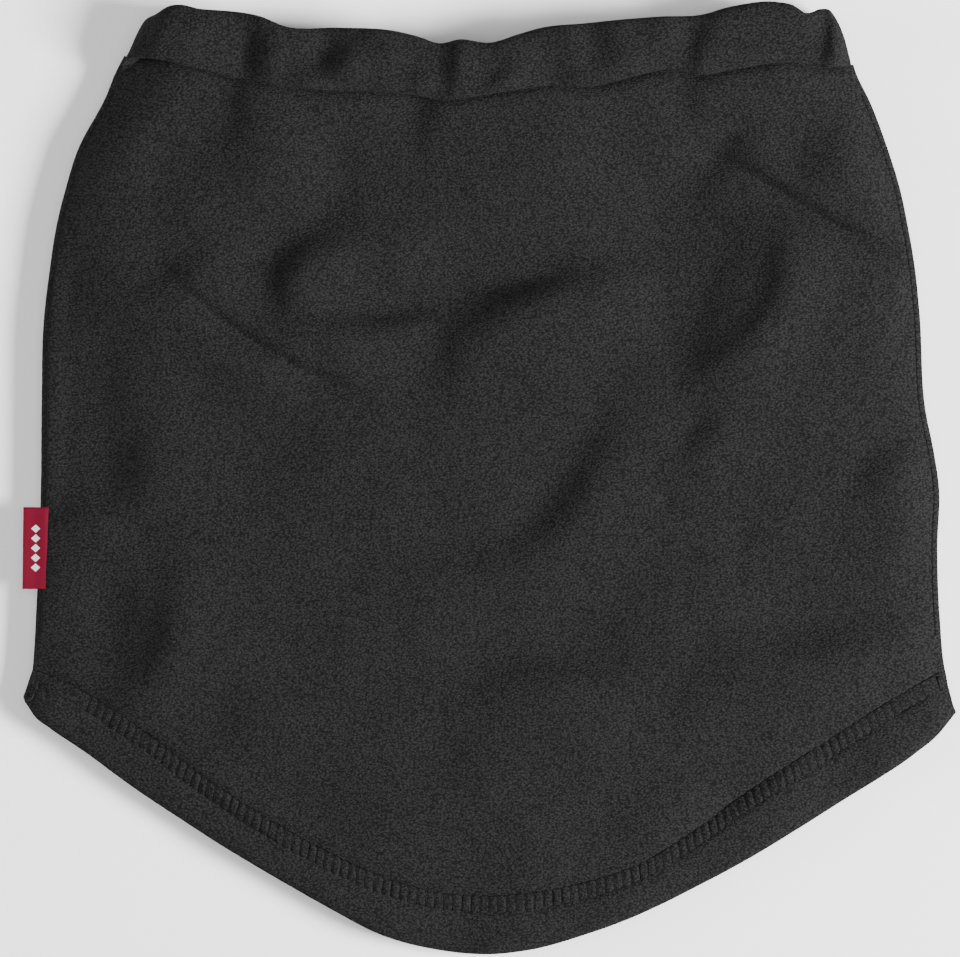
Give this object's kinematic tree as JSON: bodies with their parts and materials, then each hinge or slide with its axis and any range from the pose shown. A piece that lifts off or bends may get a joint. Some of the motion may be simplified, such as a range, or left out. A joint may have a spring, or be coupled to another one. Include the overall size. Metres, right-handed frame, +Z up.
{
  "type": "neck gaiter",
  "caption": "Fleece neck tube lying flat, with a gathered elastic neck edge, a deep U-shaped front bib, cover-stitched hems and a small flag label in the side seam.",
  "frame": {"origin": "on the surface that the gaiter lies on, under the middle of its length and width", "axes": "+Z up from that surface, +Y towards the neck edge, +X to the right as seen from above"},
  "size_m": [0.2778, 0.2825, 0.019],
  "materials": {
    "fleece": "matte",
    "thread": "satin",
    "elastic": "matte",
    "label": "satin",
    "satin": "satin"
  },
  "bodies": {
    "root": {"front_panel": "fleece", "back_panel": "fleece", "front_hem": "fleece", "back_hem": "fleece", "front_casing": "fleece", "back_casing": "fleece", "front_casing_stitching": "thread", "back_casing_stitching": "thread", "front_hem_stitching": "thread", "back_hem_stitching": "thread", "left_side_seam_stitching": "thread", "right_side_seam_stitching": "thread", "elastic_band": "elastic", "elastic_overlap": "elastic", "flag_label_tail": "label", "care_label": "satin"},
    "label": {"flag_label": "label"}
  },
  "joints": [
    {"name": "label_flap", "type": "hinge", "parent": "root", "child": "label", "pos_m": [-0.1347, -0.02115, 0.0069], "axis": [0, 1, 0], "range_deg": [-75, 85], "stiffness_Nm_per_rad": 0.00002}
  ]
}
